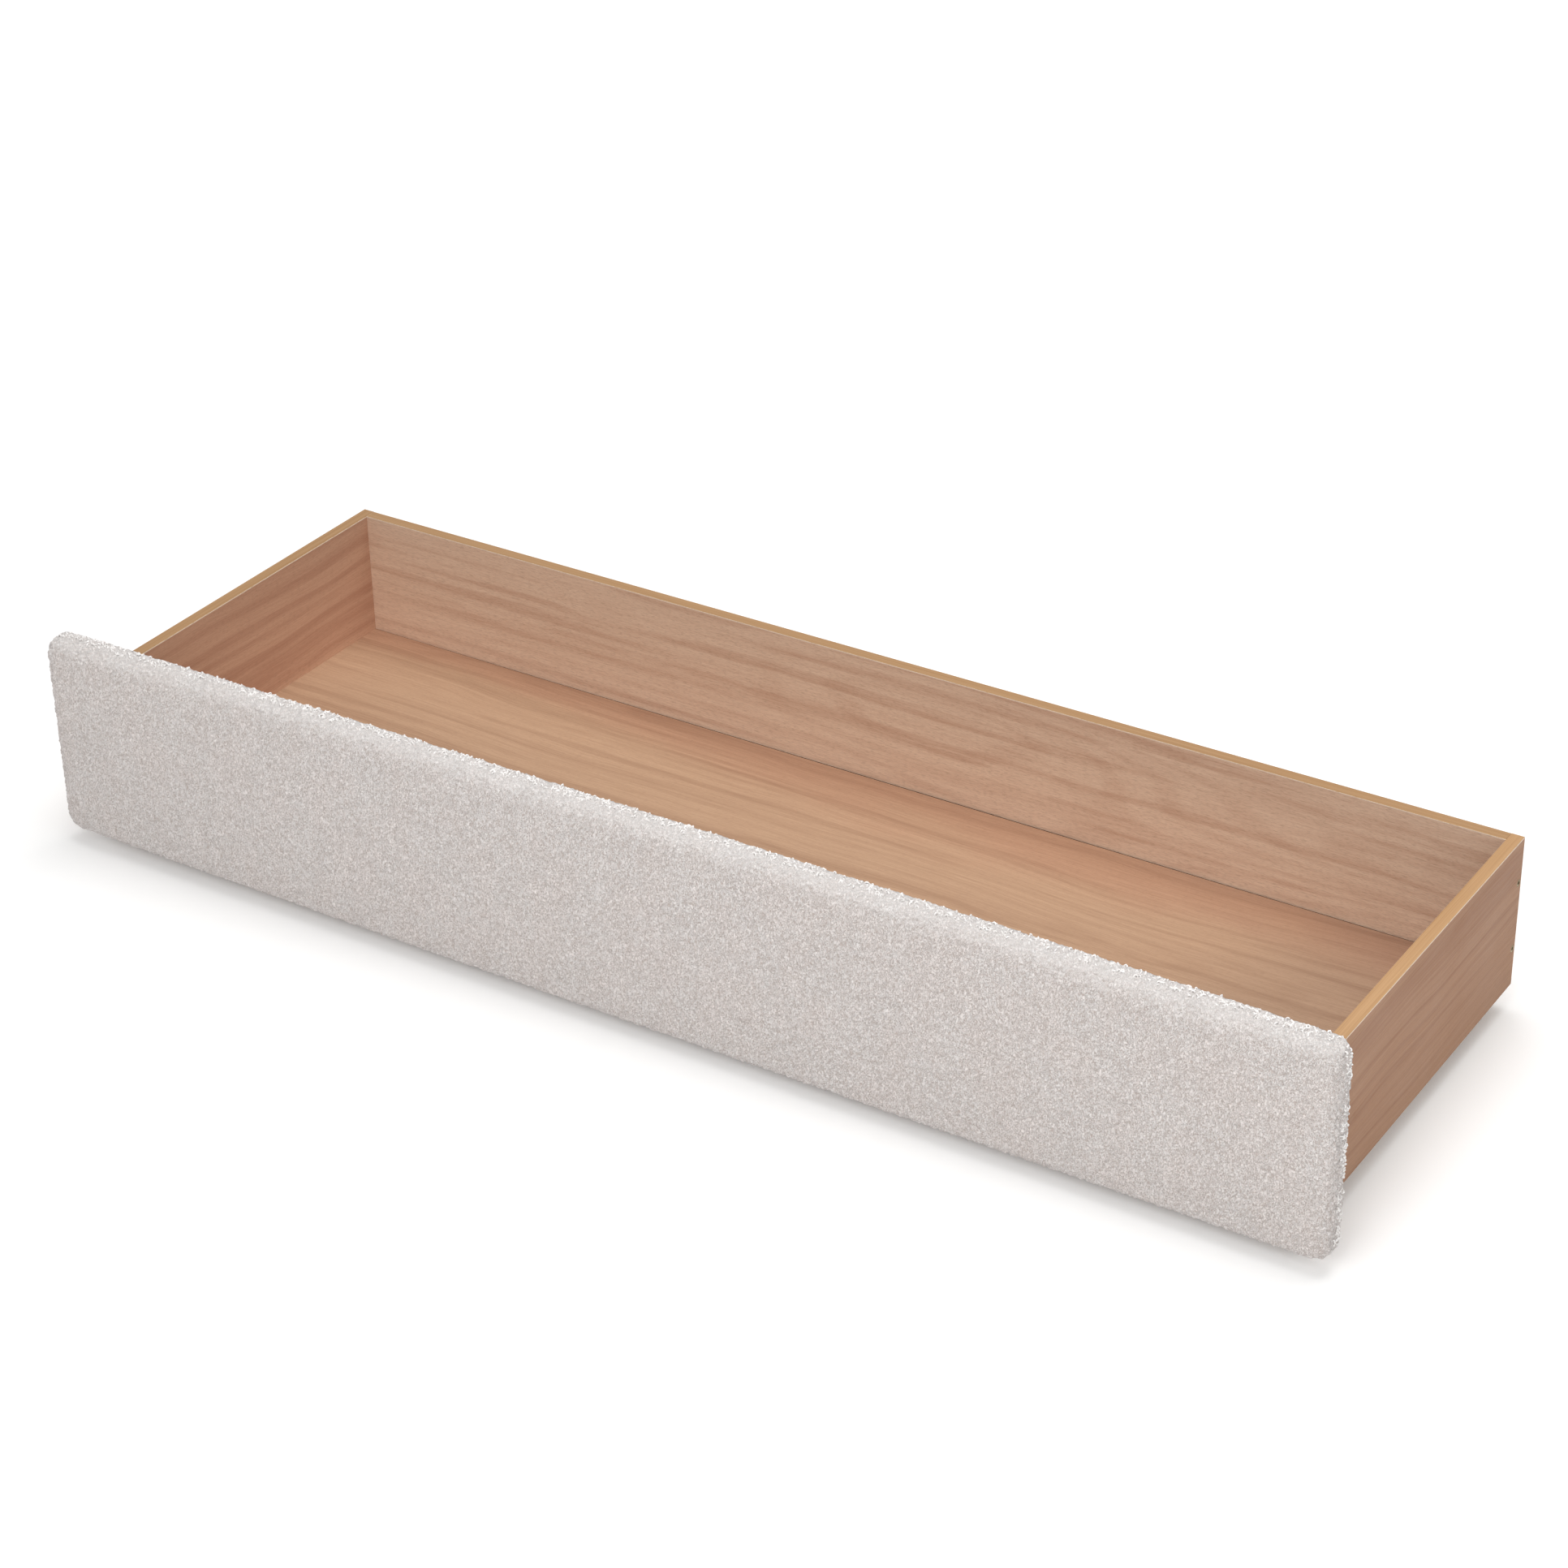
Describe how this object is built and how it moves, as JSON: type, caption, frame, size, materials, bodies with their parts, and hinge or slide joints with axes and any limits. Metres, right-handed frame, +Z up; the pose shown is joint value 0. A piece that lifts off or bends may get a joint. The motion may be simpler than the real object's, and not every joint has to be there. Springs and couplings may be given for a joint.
{
  "type": "under bed box",
  "caption": "Wide shallow open drawer box of beech-look board on small castors, with a taller padded front covered in curly fabric.",
  "frame": {"origin": "on the floor, under the centre of the whole object's box", "axes": "+X along the front to the right as seen from the front, +Y from the padded front to the back, +Z up"},
  "size_m": [1.69, 0.5674, 0.279],
  "materials": {
    "beech_melamine": "satin printed beech decor, fine horizontal grain",
    "edge_band": "satin honey yellow wood grain edge band",
    "chipboard": "raw pressed chips, matt",
    "dowel_wood": "plain turned beech, matt",
    "zinc_steel": "yellow passivated zinc",
    "staple_wire": "galvanised wire",
    "pressed_steel": "bright zinc plated sheet",
    "rivet_steel": "zinc plated rivet",
    "wheel_plastic": "black moulded plastic",
    "tread_rubber": "grey soft tread",
    "foam": "open cell foam",
    "boucle": "cream curly boucle pile",
    "lining_cloth": "thin black spunbond cloth"
  },
  "bodies": {
    "box": {"side_panel_left": "beech_melamine", "side_panel_right": "beech_melamine", "back_panel": "beech_melamine", "inner_front_panel": "beech_melamine", "bottom_panel": "beech_melamine", "side_band_left": "edge_band", "side_band_right": "edge_band", "back_band": "edge_band", "inner_front_band": "edge_band", "bottom_dowels": "dowel_wood", "front_board": "chipboard", "confirmat_screws": "zinc_steel", "front_screws": "zinc_steel", "castor_screws": "zinc_steel", "front_foam": "foam", "front_cover": "boucle", "front_lining": "lining_cloth", "cover_staples": "staple_wire", "lining_staples": "staple_wire", "castor_fork_front_left": "pressed_steel", "castor_axle_front_left": "rivet_steel", "castor_fork_front_right": "pressed_steel", "castor_axle_front_right": "rivet_steel", "castor_fork_rear_left": "pressed_steel", "castor_axle_rear_left": "rivet_steel", "castor_fork_rear_right": "pressed_steel", "castor_axle_rear_right": "rivet_steel"},
    "wheel_front_left": {"castor_wheel_front_left": "wheel_plastic", "castor_tread_front_left": "tread_rubber"},
    "wheel_front_right": {"castor_wheel_front_right": "wheel_plastic", "castor_tread_front_right": "tread_rubber"},
    "wheel_rear_left": {"castor_wheel_rear_left": "wheel_plastic", "castor_tread_rear_left": "tread_rubber"},
    "wheel_rear_right": {"castor_wheel_rear_right": "wheel_plastic", "castor_tread_rear_right": "tread_rubber"}
  },
  "joints": [
    {"name": "wheel_front_left_spin", "type": "hinge", "parent": "box", "child": "wheel_front_left", "pos_m": [-0.74, -0.17, 0.019], "axis": [1, 0, 0], "continuous": true},
    {"name": "wheel_front_right_spin", "type": "hinge", "parent": "box", "child": "wheel_front_right", "pos_m": [0.74, -0.17, 0.019], "axis": [1, 0, 0], "continuous": true},
    {"name": "wheel_rear_left_spin", "type": "hinge", "parent": "box", "child": "wheel_rear_left", "pos_m": [-0.74, 0.206, 0.019], "axis": [1, 0, 0], "continuous": true},
    {"name": "wheel_rear_right_spin", "type": "hinge", "parent": "box", "child": "wheel_rear_right", "pos_m": [0.74, 0.206, 0.019], "axis": [1, 0, 0], "continuous": true}
  ]
}
